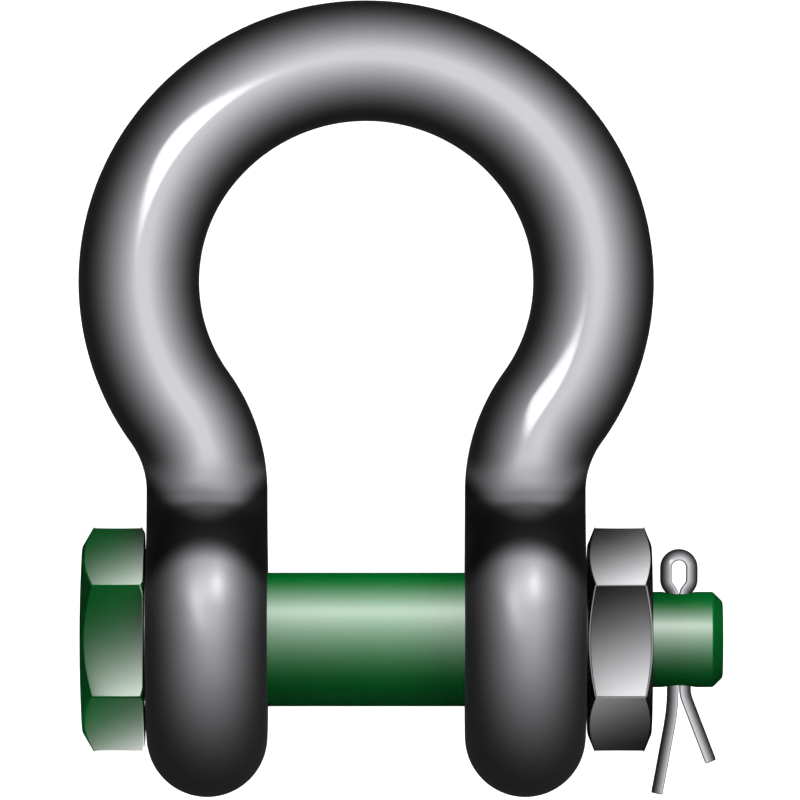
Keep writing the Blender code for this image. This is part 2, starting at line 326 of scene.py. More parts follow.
# %% [markdown]
# Modelling without a mouse needs a few habits. Everything is deselected before something new is
# added, and vertices, edges or faces are selected by asking each one where it is. A finished piece is
# shaded smooth, apart from the edges that turn by more than a chosen angle.


# %% Modelling helpers
MERGE = 0.00001
FORGED_SMOOTH = math.radians(40)
TURNED_SMOOTH = math.radians(30)


def only(obj):
    """Select this object alone and make it active."""
    bpy.ops.object.select_all(action="DESELECT")
    obj.select_set(True)
    bpy.context.view_layer.objects.active = obj


def edit(obj):
    only(obj)
    bpy.ops.object.mode_set(mode="EDIT")


def leave():
    bpy.ops.object.mode_set(mode="OBJECT")


def choose(obj, kind, wanted):
    """In edit mode, select only the verts, edges or faces that the test wants."""
    bpy.ops.mesh.select_all(action="DESELECT")
    bpy.ops.mesh.select_mode(type={"verts": "VERT", "edges": "EDGE", "faces": "FACE"}[kind])
    bm = bmesh.from_edit_mesh(obj.data)
    for element in getattr(bm, kind):
        if wanted(element):
            element.select_set(True)
    bmesh.update_edit_mesh(obj.data)


def new_ring(name, points, radius, place, turn):
    """An open circle, with its place and turn already in its mesh."""
    bpy.ops.object.select_all(action="DESELECT")
    bpy.ops.mesh.primitive_circle_add(vertices=points, radius=radius, location=place, rotation=turn)
    bpy.ops.object.transform_apply(location=True, rotation=True, scale=True)
    obj = bpy.context.object
    obj.name = name
    obj.data.name = name
    return obj


def close_up(obj):
    """Merge doubles, then turn all faces outwards."""
    edit(obj)
    bpy.ops.mesh.select_all(action="SELECT")
    bpy.ops.mesh.remove_doubles(threshold=MERGE)
    bpy.ops.mesh.normals_make_consistent(inside=False)
    leave()


def combine(obj, tool, operation):
    """Cut the tool away, join it on, or keep what both share. The tool is used up."""
    only(obj)
    bpy.ops.object.modifier_add(type="BOOLEAN")
    boolean = obj.modifiers[-1]
    boolean.object = tool
    boolean.operation = operation
    boolean.solver = "EXACT"
    bpy.ops.object.modifier_apply(modifier=boolean.name)
    bpy.data.objects.remove(tool)


def report(obj):
    sizes = [round(side * 1000, 1) for side in obj.dimensions]
    print(obj.name, len(obj.data.polygons), "faces,", sizes, "mm")


def lay_down(obj, node, body, sharp):
    """Put a finished piece in its resting place over its plain solid."""
    only(obj)
    bpy.ops.object.shade_smooth_by_angle(angle=sharp)
    bpy.ops.object.modifier_add(type="WEIGHTED_NORMAL")
    obj.modifiers[-1].keep_sharp = True
    bpy.ops.object.modifier_apply(modifier=obj.modifiers[-1].name)
    obj.matrix_world = resting
    bpy.ops.object.transform_apply(location=True, rotation=True, scale=True)
    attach(obj, body)
    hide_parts(node)
    report(obj)


# %% [markdown]
# The bow is one forging: a round bar of 25.7 mm, bent at the crown, the shoulders and the throats.
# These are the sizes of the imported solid, from the top of the crown down to the eyes. The bends touch
# each other without a kink, so the throat's angle follows from the others.

# %% Sizes of the bow
BAR_RADIUS = 0.02570 / 2
JAW_WIDTH = 0.0419
CROWN_RADIUS = 0.0490
CROWN_ANGLE = math.radians(53.5)
SHOULDER_RADIUS = 0.0455
THROAT_RADIUS = 0.0305
LIMB_LENGTH = 0.0314
EYE_RADIUS = 0.0670 / 2
NECK_FILLET = 0.0085
HOLE_RADIUS = 0.0147
HOLE_CHAMFER = 0.0008

EYE_CENTRE = JAW_WIDTH / 2 + BAR_RADIUS
widest = CROWN_RADIUS * math.sin(CROWN_ANGLE) + SHOULDER_RADIUS * (1 - math.sin(CROWN_ANGLE))
throat_angle = math.acos(1 - (widest - EYE_CENTRE) / (SHOULDER_RADIUS + THROAT_RADIUS))
bends = [
    (-THROAT_RADIUS, throat_angle),
    (SHOULDER_RADIUS, throat_angle + math.pi / 2 - CROWN_ANGLE),
    (CROWN_RADIUS, CROWN_ANGLE),
]
print("the throat turns by", round(math.degrees(throat_angle), 1), "degrees")


# %% [markdown]
# Walking up the bar from the limb gives the middle of the bar, the direction across it and the pivot
# of each bend. The pivots are what the spin operator needs.


# %% The bar's middle line
def side_direction(turned):
    """Across the bar, away from the other limb, once the bar has turned outwards."""
    return Vector((math.cos(turned), -math.sin(turned), 0))


def bar_frame(height):
    """Middle of the bar and its side direction, at a distance along it from the bolt's axis."""
    centre = Vector((EYE_CENTRE, min(height, LIMB_LENGTH), 0))
    turned = 0
    left = height - LIMB_LENGTH
    for radius, angle in bends:
        if left <= 0:
            break
        part = min(angle, left / abs(radius))
        pivot = centre - radius * side_direction(turned)
        turned -= math.copysign(part, radius)
        centre = pivot + radius * side_direction(turned)
        left -= part * abs(radius)
    return centre, side_direction(turned)


bend_starts = [LIMB_LENGTH]
for radius, angle in bends:
    bend_starts.append(bend_starts[-1] + abs(radius) * angle)
crown_top = bar_frame(bend_starts[-1])[0]
print("the crown's middle line is", round(crown_top.y * 1000, 1), "mm from the bolt's axis")

# %% [markdown]
# The bar starts as a circle at the top of the crown. Three spins bend it down one side, the last of
# them the other way. Without a window a positive angle spins clockwise, seen from +Z. Each vertex
# remembers its place around the bar, and the copies that spin and extrude make keep it.

# %% Spin the bar
RING_POINTS = 96
BEND_STEP = math.radians(1.5)

fillet_out = BAR_RADIUS + NECK_FILLET
neck_top = math.sqrt((EYE_RADIUS + NECK_FILLET) ** 2 - fillet_out**2)
neck_foot = neck_top * EYE_RADIUS / (EYE_RADIUS + NECK_FILLET)

bow = new_ring("forged_bow", RING_POINTS, BAR_RADIUS, crown_top, (0, math.pi / 2, 0))
edit(bow)
bm = bmesh.from_edit_mesh(bow.data)
around = bm.verts.layers.float.new("around")
for vert in bm.verts:
    vert[around] = math.atan2(vert.co.y - crown_top.y, vert.co.z)
bmesh.update_edit_mesh(bow.data)

for (radius, angle), start in reversed(list(zip(bends, bend_starts))):
    low_end = max(start, neck_top)
    high_end = start + abs(radius) * angle
    centre, side = bar_frame(high_end)
    swept = math.copysign((high_end - low_end) / abs(radius), radius)
    steps = math.ceil(abs(swept) / BEND_STEP)
    pivot = centre - radius * side
    bpy.ops.mesh.spin(steps=steps, angle=swept, center=pivot, axis=(0, 0, 1))
leave()
print("bar spun in", len(bow.data.vertices) // RING_POINTS, "rings")


# %% [markdown]
# The eye takes the most skill. A smith flattens the bar's end into a thick disc and keeps its rim full
# round, as round as the bar, with a fillet where the limb runs in. Extruding ring after ring and
# moving each to its section gives that: seen from the side a ring is as wide as the limb, the fillet
# or the disc is there, and its thickness follows a circle of the bar's radius in from the outline.


# %% Section of the eye
def half_width(height):
    """Half the width of the limb and the eye in side view."""
    if height >= neck_top:
        return BAR_RADIUS
    if height > neck_foot:
        return fillet_out - math.sqrt(NECK_FILLET**2 - (neck_top - height) ** 2)
    return math.sqrt(max(0, EYE_RADIUS**2 - height**2))


def half_thickness(height, z):
    """Half the thickness where a point of the side view lies that deep inside the outline."""
    z = abs(z)
    if height >= neck_top:
        depth = BAR_RADIUS - z
    elif height * fillet_out > z * neck_top:
        depth = math.hypot(height - neck_top, z - fillet_out) - NECK_FILLET
    else:
        depth = EYE_RADIUS - math.hypot(height, z)
    short = BAR_RADIUS - min(BAR_RADIUS, max(0, depth))
    return math.sqrt(BAR_RADIUS**2 - short**2)


def place_ring(obj, height):
    """Move the selected ring to the section at this height."""
    bm = bmesh.from_edit_mesh(obj.data)
    around = bm.verts.layers.float["around"]
    centre, side = bar_frame(height)
    for vert in bm.verts:
        if vert.select:
            z = half_width(height) * math.cos(vert[around])
            across = math.copysign(half_thickness(height, z), math.sin(vert[around]))
            vert.co = centre + across * side + Vector((0, 0, z))
    bmesh.update_edit_mesh(obj.data)


# %% Extrude the neck and the eye
EYE_STEP = math.radians(2.5)
NECK_STEPS = 12

fillet_angle = math.asin((neck_top - neck_foot) / NECK_FILLET)
eye_angle = math.acos(-neck_foot / EYE_RADIUS)
eye_steps = math.ceil(eye_angle / EYE_STEP)
heights = []
for i in range(1, NECK_STEPS + 1):
    heights.append(neck_top - NECK_FILLET * math.sin(fillet_angle * i / NECK_STEPS))
for i in range(eye_steps - 1, 0, -1):
    heights.append(-EYE_RADIUS * math.cos(eye_angle * i / eye_steps))

only(bow)
bpy.ops.object.mode_set(mode="EDIT")
for height in heights:
    bpy.ops.mesh.extrude_region_move()
    place_ring(bow, height)
bpy.ops.mesh.extrude_region_move(TRANSFORM_OT_translate={"value": (0, -MERGE, 0)})
bpy.ops.mesh.merge(type="CENTER")
bm = bmesh.from_edit_mesh(bow.data)
foot = next(vert for vert in bm.verts if vert.select)
foot.co = (EYE_CENTRE, -EYE_RADIUS, 0)
bmesh.update_edit_mesh(bow.data)
leave()
print("eye closed at", [round(x * 1000, 2) for x in (EYE_CENTRE, -EYE_RADIUS, 0)])

# %% Mirror the other half and drill the eyes
HOLE_POINTS = 128
HOLE_CHAMFER_STEPS = 4
DRILL_LENGTH = 3 * BAR_RADIUS

only(bow)
bpy.ops.object.modifier_add(type="MIRROR")
bow.modifiers[-1].merge_threshold = MERGE
bpy.ops.object.modifier_apply(modifier=bow.modifiers[-1].name)
close_up(bow)
for side in (-1, 1):
    bpy.ops.object.select_all(action="DESELECT")
    bpy.ops.mesh.primitive_cylinder_add(
        vertices=HOLE_POINTS,
        radius=HOLE_RADIUS,
        depth=DRILL_LENGTH,
        location=(side * EYE_CENTRE, 0, 0),
        rotation=(0, math.pi / 2, 0),
    )
    combine(bow, bpy.context.object, "DIFFERENCE")


def on_hole_rim(edge):
    """Both ends lie on the hole's circle and on a flat face of an eye."""
    return all(
        abs(math.hypot(vert.co.y, vert.co.z) - HOLE_RADIUS) < MERGE
        and abs(abs(abs(vert.co.x) - EYE_CENTRE) - BAR_RADIUS) < MERGE
        for vert in edge.verts
    )


edit(bow)
choose(bow, "edges", on_hole_rim)
bpy.ops.mesh.bevel(offset=HOLE_CHAMFER, segments=HOLE_CHAMFER_STEPS, affect="EDGES")
leave()
lay_down(bow, "bow", "bow", FORGED_SMOOTH)

# %% [markdown]
# The bolt, the nut and every drill are turned shapes. Each starts as a filled circle on the bolt's
# axis. It is pushed along the axis and scaled from one station to the next, as a lathe would step
# from one diameter to another.


# %% Turned shapes and hexagons
TURN_POINTS = 128
SOFT_STEPS = 3


def turned(name, stations, points=TURN_POINTS):
    """A solid turned about X. Each station is a place along the axis and a radius there."""
    obj = new_ring(name, points, stations[0][1], (stations[0][0], 0, 0), (0, math.pi / 2, 0))
    edit(obj)
    bpy.ops.mesh.edge_face_add()
    for (place, radius), (next_place, next_radius) in zip(stations, stations[1:]):
        bpy.ops.mesh.extrude_region_move(TRANSFORM_OT_translate={"value": (next_place - place, 0, 0)})
        share = next_radius / radius
        bpy.ops.transform.resize(value=(1, share, share), center_override=(next_place, 0, 0))
    leave()
    close_up(obj)
    return obj


def hexagon(name, across_flats, low, high):
    """A hexagonal bar along X, with two of its corners towards and away from the crown."""
    bpy.ops.object.select_all(action="DESELECT")
    bpy.ops.mesh.primitive_cylinder_add(
        vertices=6,
        radius=across_flats / math.sqrt(3),
        depth=high - low,
        location=((low + high) / 2, 0, 0),
        rotation=(0, math.pi / 2, 0),
    )
    bpy.ops.object.transform_apply(location=True, rotation=True, scale=True)
    obj = bpy.context.object
    obj.name = name
    obj.data.name = name
    return obj


def soften(obj, width, sharpness):
    """Round every edge that is sharper than this."""
    edit(obj)
    bpy.ops.mesh.select_all(action="DESELECT")
    bpy.ops.mesh.select_mode(type="EDGE")
    bpy.ops.mesh.edges_select_sharp(sharpness=sharpness)
    bpy.ops.mesh.bevel(offset=width, segments=SOFT_STEPS, affect="EDGES")
    leave()


# %% [markdown]
# The head is a hexagon cut from bar, with its corners turned off at both ends and a shallow dome on
# top. Keeping what a hexagonal bar and a turned blank share gives the curved lines where the chamfer
# runs down each corner. A small bevel then takes the sharpness off every edge.

# %% Head of the bolt
SHANK_RADIUS = 0.0284 / 2
SEAT_GAP = 0.0003
ACROSS_FLATS = 0.0410
HEAD_THICKNESS = 0.0139
HEAD_FACE_RADIUS = 0.0394 / 2
HEAD_DOME_RADIUS = 0.3500
HEAD_SLOPE = math.tan(math.radians(30))
HEAD_SEAT_CHAMFER = 0.0006
EDGE_SOFTNESS = 0.00035
SHARP = math.radians(18)
OVERRUN = 0.0010
DOME_STEPS = 8
DOME_START = 0.1

eye_face = EYE_CENTRE + BAR_RADIUS
head_seat = -eye_face - SEAT_GAP
head_end = head_seat - HEAD_THICKNESS
corner = ACROSS_FLATS / math.sqrt(3)
wide = corner + OVERRUN
seat_edge = corner - HEAD_SEAT_CHAMFER / HEAD_SLOPE


def dome_place(radius):
    """Where the head's domed top lies along the bolt, that far from its axis."""
    return head_end + HEAD_DOME_RADIUS - math.sqrt(HEAD_DOME_RADIUS**2 - radius**2)


dome_end = DOME_STEPS + DOME_START
dome_radii = [HEAD_FACE_RADIUS * (i + DOME_START) / dome_end for i in range(DOME_STEPS + 1)]
head_blank = turned(
    "head_blank",
    [(dome_place(radius), radius) for radius in dome_radii]
    + [
        (dome_place(HEAD_FACE_RADIUS) + (wide - HEAD_FACE_RADIUS) * HEAD_SLOPE, wide),
        (head_seat - (wide - seat_edge) * HEAD_SLOPE, wide),
        (head_seat, seat_edge),
    ],
)
head = hexagon("head", ACROSS_FLATS, head_end - OVERRUN, head_seat + OVERRUN)
combine(head, head_blank, "INTERSECT")
soften(head, EDGE_SOFTNESS, SHARP)
report(head)

# %% [markdown]
# The shank runs through both eyes. Behind it comes the threaded stretch under the nut, then a smooth
# point with a hole across it for the cotter pin. The thread is a ridge wound round the core: one
# section of it, screwed along the axis, one turn for each pitch. A turned envelope trims its two ends.

# %% Shank and point
THREAD_RADIUS = 0.0270 / 2
THREAD_PITCH = 0.0030
THREAD_DEPTH = 0.0018
THREAD_INSIDE_EYE = 0.0020
NUT_THICKNESS = 0.0137
POINT_RADIUS = 0.0203 / 2
POINT_LENGTH = 0.0151
POINT_CHAMFER = 0.0021
HEAD_FILLET = 0.0006

nut_seat = eye_face + SEAT_GAP
nut_end = nut_seat + NUT_THICKNESS
point_end = nut_end + POINT_LENGTH
thread_start = eye_face - THREAD_INSIDE_EYE
core_radius = THREAD_RADIUS - THREAD_DEPTH
core_end = nut_end - (core_radius - POINT_RADIUS)
bolt = turned(
    "safety_bolt",
    [
        (head_seat - HEAD_THICKNESS / 2, SHANK_RADIUS + HEAD_FILLET),
        (head_seat, SHANK_RADIUS + HEAD_FILLET),
        (head_seat + HEAD_FILLET, SHANK_RADIUS),
        (thread_start - (SHANK_RADIUS - core_radius), SHANK_RADIUS),
        (thread_start, core_radius),
        (core_end, core_radius),
        (nut_end, POINT_RADIUS),
        (point_end - POINT_CHAMFER, POINT_RADIUS),
        (point_end, POINT_RADIUS - POINT_CHAMFER),
    ],
)
soften(bolt, EDGE_SOFTNESS, SHARP)
report(bolt)


# %% Thread
THREAD_STEPS = 96
RIDGE_INSIDE = 0.0004
CREST_SHARE = 0.16
ROOT_SHARE = 0.88


def thread_ridge(name, inner, outer, low, high):
    """A closed ridge wound round X: narrow at the radius outer, wide at the radius inner."""
    bpy.ops.object.select_all(action="DESELECT")
    bpy.ops.mesh.primitive_plane_add(size=1)
    bpy.ops.object.transform_apply(location=True, rotation=True, scale=True)
    obj = bpy.context.object
    obj.name = name
    bm = bmesh.new()
    bm.from_mesh(obj.data)
    for vert in bm.verts:
        share = ROOT_SHARE if vert.co.y < 0 else CREST_SHARE
        radius = inner if vert.co.y < 0 else outer
        vert.co = (low + vert.co.x * share * THREAD_PITCH, radius, 0)
    bmesh.ops.delete(bm, geom=bm.faces[:], context="FACES_ONLY")
    bm.to_mesh(obj.data)
    bm.free()
    only(obj)
    bpy.ops.object.modifier_add(type="SCREW")
    screw = obj.modifiers[-1]
    screw.axis = "X"
    screw.steps = screw.render_steps = THREAD_STEPS
    screw.screw_offset = THREAD_PITCH
    screw.iterations = math.ceil((high - low) / THREAD_PITCH)
    screw.use_merge_vertices = False
    bpy.ops.object.modifier_apply(modifier=screw.name)
    edit(obj)
    bpy.ops.mesh.select_all(action="SELECT")
    bpy.ops.mesh.remove_doubles(threshold=MERGE)
    bpy.ops.mesh.fill_holes(sides=4)
    bpy.ops.mesh.normals_make_consistent(inside=False)
    leave()
    return obj


ridge = thread_ridge(
    "ridge",
    core_radius - RIDGE_INSIDE,
    THREAD_RADIUS,
    thread_start - THREAD_PITCH,
    nut_end + THREAD_PITCH,
)
envelope = turned(
    "envelope",
    [
        (thread_start - 2 * THREAD_PITCH, core_radius),
        (thread_start - (SHANK_RADIUS - THREAD_RADIUS), core_radius),
        (thread_start, THREAD_RADIUS),
        (nut_end - (THREAD_RADIUS - POINT_RADIUS), THREAD_RADIUS),
        (nut_end, POINT_RADIUS),
    ],
)
combine(ridge, envelope, "INTERSECT")
report(ridge)
combine(bolt, ridge, "UNION")
combine(bolt, head, "UNION")
report(bolt)

# %% [markdown]
# A drill with a countersink at both ends goes across the point. Its two rims are the only sharp edges
# left, and the paint would round them.

# %% Cotter hole
WIRE_RADIUS = 0.00245
LEG_GAP = 0.0002
COTTER_CLEARANCE = 0.0003
COTTER_FROM_NUT = 0.0058
DRILL_COUNTERSINK = 0.0007
DRILL_POINTS = 48

cotter_place = nut_end + COTTER_FROM_NUT
drill_radius = WIRE_RADIUS + LEG_GAP / 2 + COTTER_CLEARANCE
drill_reach = POINT_RADIUS + OVERRUN
drill_stations = [
    (-drill_reach, drill_radius + DRILL_COUNTERSINK + OVERRUN),
    (-POINT_RADIUS + DRILL_COUNTERSINK, drill_radius),
    (POINT_RADIUS - DRILL_COUNTERSINK, drill_radius),
    (drill_reach, drill_radius + DRILL_COUNTERSINK + OVERRUN),
]
drill = turned("cotter_drill", drill_stations, DRILL_POINTS)
drill.matrix_world = Matrix.Translation((cotter_place, 0, 0)) @ Matrix.Rotation(math.pi / 2, 4, "Z")
combine(bolt, drill, "DIFFERENCE")
lay_down(bolt, "bolt", "bolt", TURNED_SMOOTH)

# %% [markdown]
# The nut is thin, because the cotter pin and not its thread keeps the bolt in. It is chamfered on both
# faces. Its thread is the same ridge, used as a cutter, with its crests just clear of the bolt's, so
# that the nut can turn without its threads cutting through the bolt's.

# %% Nut
NUT_FACE_RADIUS = 0.0400 / 2
NUT_SLOPE = math.tan(math.radians(22))
NUT_COUNTERSINK = 0.0012
THREAD_CLEARANCE = 0.0003
GROOVE_SHARE = 0.6

chamfer = (wide - NUT_FACE_RADIUS) * NUT_SLOPE
nut_blank = turned(
    "nut_blank",
    [
        (nut_seat, NUT_FACE_RADIUS),
        (nut_seat + chamfer, wide),
        (nut_end - chamfer, wide),
        (nut_end, NUT_FACE_RADIUS),
    ],
)
nut = hexagon("thin_nut", ACROSS_FLATS, nut_seat - OVERRUN, nut_end + OVERRUN)
combine(nut, nut_blank, "INTERSECT")
bore_radius = THREAD_RADIUS + THREAD_CLEARANCE
bore = turned(
    "nut_bore",
    [
        (nut_seat - OVERRUN, bore_radius + NUT_COUNTERSINK + OVERRUN),
        (nut_seat + NUT_COUNTERSINK, bore_radius),
        (nut_end - NUT_COUNTERSINK, bore_radius),
        (nut_end + OVERRUN, bore_radius + NUT_COUNTERSINK + OVERRUN),
    ],
)
combine(nut, bore, "DIFFERENCE")
soften(nut, EDGE_SOFTNESS, SHARP)
groove = thread_ridge(
    "groove",
    bore_radius - RIDGE_INSIDE,
    bore_radius + GROOVE_SHARE * THREAD_DEPTH,
    nut_seat - 2 * THREAD_PITCH,
    nut_end + 2 * THREAD_PITCH,
)
combine(nut, groove, "DIFFERENCE")
lay_down(nut, "nut", "nut", TURNED_SMOOTH)

# %% [markdown]
# A cotter pin is one length of half-round wire, folded so that its two flat sides lie together. Its
# middle is left as a round eye, which stops it in the hole, and its ends are bent apart unequally.
# A half-round section is drawn along the flat side's line: straight runs are extruded and bends are
# spun, just as the bow was.

# %% Sizes of the cotter pin
COTTER_EYE_HEIGHT = 0.0091
COTTER_EYE_BORE = 0.0031
COTTER_MOUTH = 0.0003
COTTER_FLARE = 0.0018
COTTER_CORNER = 0.0005
LONG_LEG = {"side": -1, "angle": math.radians(10.5), "bend": 0.0450, "length": 0.0187}
SHORT_LEG = {"side": 1, "angle": math.radians(21.0), "bend": 0.0080, "length": 0.0155}


def leg_corners(side, angle, bend, length):
    """Corners from a leg's tip up to the eye, each with the radius of its bend."""
    flat = side * LEG_GAP / 2
    mouth = POINT_RADIUS + COTTER_MOUTH
    knee = Vector((flat, -mouth - bend * math.tan(angle / 2), 0))
    tip = knee + length * Vector((side * math.sin(angle), -math.cos(angle), 0))
    eye_side = side * COTTER_EYE_BORE / 2
    eye_top = POINT_RADIUS + COTTER_EYE_HEIGHT - WIRE_RADIUS
    return [
        (tip, 0),
        (knee, bend),
        (Vector((flat, mouth, 0)), WIRE_RADIUS + COTTER_CORNER),
        (Vector((eye_side, mouth + COTTER_FLARE, 0)), COTTER_EYE_BORE / 2),
        (Vector((eye_side, eye_top, 0)), COTTER_EYE_BORE / 2),
    ]


wire_corners = leg_corners(**LONG_LEG) + leg_corners(**SHORT_LEG)[::-1]
print("the cotter pin has", len(wire_corners) - 2, "bends")


# %% Draw the wire
WIRE_POINTS = 36
WIRE_STEP = math.radians(5)
WIRE_END = 0.0003
WIRE_SHARP = math.radians(60)

start = wire_corners[0][0]
heading = (wire_corners[1][0] - start).normalized()
pin = new_ring("split_pin", WIRE_POINTS, WIRE_RADIUS, (0, 0, 0), (math.pi / 2, 0, 0))
edit(pin)
choose(pin, "verts", lambda vert: vert.co.x > 0)
bpy.ops.transform.resize(value=(0, 1, 1), center_override=(0, 0, 0))
leave()
facing = Matrix.Rotation(math.atan2(-heading.x, heading.y), 4, "Z")
pin.matrix_world = Matrix.Translation(start) @ facing
only(pin)
bpy.ops.object.transform_apply(location=True, rotation=True, scale=True)
edit(pin)
bpy.ops.mesh.select_all(action="SELECT")
here = start
runs = zip(wire_corners, wire_corners[1:], wire_corners[2:])
for (before, _), (corner_place, bend), (after, _) in runs:
    into = (corner_place - before).normalized()
    out = (after - corner_place).normalized()
    turn = into.angle(out)
    arc_start = corner_place - into * bend * math.tan(turn / 2)
    pivot = corner_place + (out - into).normalized() * bend / math.cos(turn / 2)
    if (arc_start - here).length > MERGE:
        bpy.ops.mesh.extrude_region_move(TRANSFORM_OT_translate={"value": arc_start - here})
    steps = max(2, math.ceil(turn / WIRE_STEP))
    clockwise = math.copysign(turn, -into.cross(out).z)
    bpy.ops.mesh.spin(steps=steps, angle=clockwise, center=pivot, axis=(0, 0, 1))
    here = corner_place + out * bend * math.tan(turn / 2)
bpy.ops.mesh.extrude_region_move(TRANSFORM_OT_translate={"value": wire_corners[-1][0] - here})
choose(pin, "edges", lambda edge: edge.is_boundary)
bpy.ops.mesh.fill_holes(sides=WIRE_POINTS)
leave()
close_up(pin)
for vert in pin.data.vertices:
    vert.co.x += cotter_place
soften(pin, WIRE_END, WIRE_SHARP)
lay_down(pin, "cotter_pin", "bolt", FORGED_SMOOTH)

# %% [markdown]
# Finishes come next. Each is a Principled shader with small variations of its own. They all need to know
# where they are on the shackle, and flat places are the easiest to think in. A Mapping node turns the
# object's own coordinates back into the flat frame that the pieces were modelled in.


# %% Finish helpers
def new_finish(name, obj, colour, metallic):
    """A material on the piece, its shader, its nodes, and places in the flat frame."""
    material = bpy.data.materials.new(name)
    material.use_nodes = True
    shader = material.node_tree.nodes["Principled BSDF"]
    shader.inputs["Base Color"].default_value = (*colour, 1)
    shader.inputs["Metallic"].default_value = metallic
    obj.data.materials.clear()
    obj.data.materials.append(material)
    nodes = Nodes(material.node_tree)
    return shader, nodes, flat_place(nodes)


def flat_place(nodes):
    """Places in the flat frame: X along the bolt, Y to the crown, Z square to the bow."""
    place = nodes.add("ShaderNodeTexCoord", output="Object")
    values = {"Vector": place, "Location": jaw_middle, "Rotation": (-lean, 0, 0)}
    return nodes.add("ShaderNodeMapping", {"vector_type": "TEXTURE"}, values)


def along(nodes, place, axis):
    """One coordinate of a place."""
    return nodes.add("ShaderNodeSeparateXYZ", sockets={0: place}, output=axis)


def noise(nodes, place, size, detail=2.0):
    """Soft random clouds between 0 and 1, about this large."""
    values = {"Vector": place, "Scale": 1 / size, "Detail": detail}
    return nodes.add("ShaderNodeTexNoise", sockets=values)


def roughen(nodes, shader, roughness):
    """Let this pattern be the roughness."""
    nodes.plug(shader.inputs["Roughness"], roughness)


def bump(nodes, shader, height, depth):
    """Raise the surface by this pattern, up to this depth in metres."""
    values = {"Height": height, "Distance": depth}
    nodes.plug(shader.inputs["Normal"], nodes.add("ShaderNodeBump", sockets=values))


# %% [markdown]
# The bow is dark forged steel with a smooth skin. The bent bar is smooth enough to give crisp highlights,
# and the eyes, which were forged in a die, are rougher. Shade is painted into the colour all round the
# neck between them. Beside it painted highlights brighten the eye and the foot of the limb, and painted
# shade darkens the eye's lower half. Each of these is a band of the height above the bolt, and together
# they make one tone for the colour. A Mix factor stops at 1, so the tone is divided by the share that the
# brightest steel may reach.

# %% Colour of the forged steel
STEEL_COLOUR = (0.295, 0.295, 0.31)
BRIGHT_SHARE = 1.8
NECK_SHADE_MIDDLE = 0.0236
NECK_SHADE_BEND = 48.0
NECK_SHADE_EDGE = (0.0068, 0.0008)
NECK_SHADE_SHARE = 0.90
LOWER_EYE_SHADE_EDGE = (0.012, -0.002)
LOWER_EYE_SHADE_SHARE = 0.32
EYE_HIGHLIGHT = (0.0060, 0.0135, 0.0165, 0.0215)
EYE_HIGHLIGHT_SIDE = (0.010, 0.002)
EYE_HIGHLIGHT_SHARE = 0.55
LIMB_HIGHLIGHT = (0.0245, 0.0280, 0.0290, 0.0315)
LIMB_HIGHLIGHT_SHARE = 0.75
CLOUD_SIZE = 0.012
CLOUD_SHARE = 0.06

steel, nodes, place = new_finish("forged_steel", bow, STEEL_COLOUR, 1.0)
height = along(nodes, place, "Y")
across = along(nodes, place, "X").absolute() - EYE_CENTRE
# The scale mask is painted shade: it darkens the colour in an hourglass round the neck, in the crease
# between limb and eye.
from_neck_shade = (height - NECK_SHADE_MIDDLE).absolute() - across * across * NECK_SHADE_BEND
scale = from_neck_shade.fade(*NECK_SHADE_EDGE)
# Painted shade: the colour darkens on the eye's lower half, which turns away from the light.
lower_eye_shade = height.fade(*LOWER_EYE_SHADE_EDGE)
clouds = noise(nodes, place, CLOUD_SIZE)
# Painted highlight: the colour is brightened on the eye above the hole, where the light's reflection
# falls.
eye_highlight = height.band(*EYE_HIGHLIGHT) * across.absolute().fade(*EYE_HIGHLIGHT_SIDE) * EYE_HIGHLIGHT_SHARE
# Painted highlight on the foot of the limb, just above the painted shade of the neck.
limb_highlight = height.band(*LIMB_HIGHLIGHT) * LIMB_HIGHLIGHT_SHARE
tone = (1 - scale * NECK_SHADE_SHARE) * (1 - lower_eye_shade * LOWER_EYE_SHADE_SHARE) * (1 + eye_highlight + limb_highlight)
tone = tone * (1 - CLOUD_SHARE / 2 + clouds * CLOUD_SHARE)
bright_steel = [share * BRIGHT_SHARE for share in STEEL_COLOUR]
colour = nodes.mix(tone / BRIGHT_SHARE, (0, 0, 0, 1), (*bright_steel, 1))
nodes.plug(steel.inputs["Base Color"], colour)
print("steel: scale round the neck at", NECK_SHADE_MIDDLE * 1000, "mm")

# %% Skin of the forged steel
BAR_ROUGHNESS = 0.13
EYE_ROUGHNESS = 0.36
BAR_SMOOTH = (0.0340, 0.0425)
NECK_ROUGH = (0.0270, 0.0310, 0.0350, 0.0390)
NECK_ROUGHNESS = 0.16
GRAIN_SIZE = 0.0012
GRAIN_DETAIL = 3.0
GRAIN_ROUGHNESS = 0.03
GRAIN_DEPTH = 0.000002

grain = noise(nodes, place, GRAIN_SIZE, GRAIN_DETAIL)
roughness = height.fade(*BAR_SMOOTH, EYE_ROUGHNESS, BAR_ROUGHNESS) + (grain - 0.5) * GRAIN_ROUGHNESS
roughness = roughness + height.band(*NECK_ROUGH) * NECK_ROUGHNESS
roughen(nodes, steel, roughness)
bump(nodes, steel, grain, GRAIN_DEPTH)
print("steel: grain of", GRAIN_SIZE * 1000, "mm")

# %% [markdown]
# The bolt is painted a glossy green, so that its grade is seen at once. Paint is not a metal: its colour
# comes from below, and its gloss is white. A faint orange peel breaks the gloss.

# %% Green paint
PAINT_COLOUR = (0.0, 0.055, 0.008)
PAINT_GLOSS = 0.55
PAINT_ROUGHNESS = (0.18, 0.04)
PAINT_CLOUD_SIZE = 0.010
PEEL_SIZE = 0.0025
PEEL_DEPTH = 0.000002

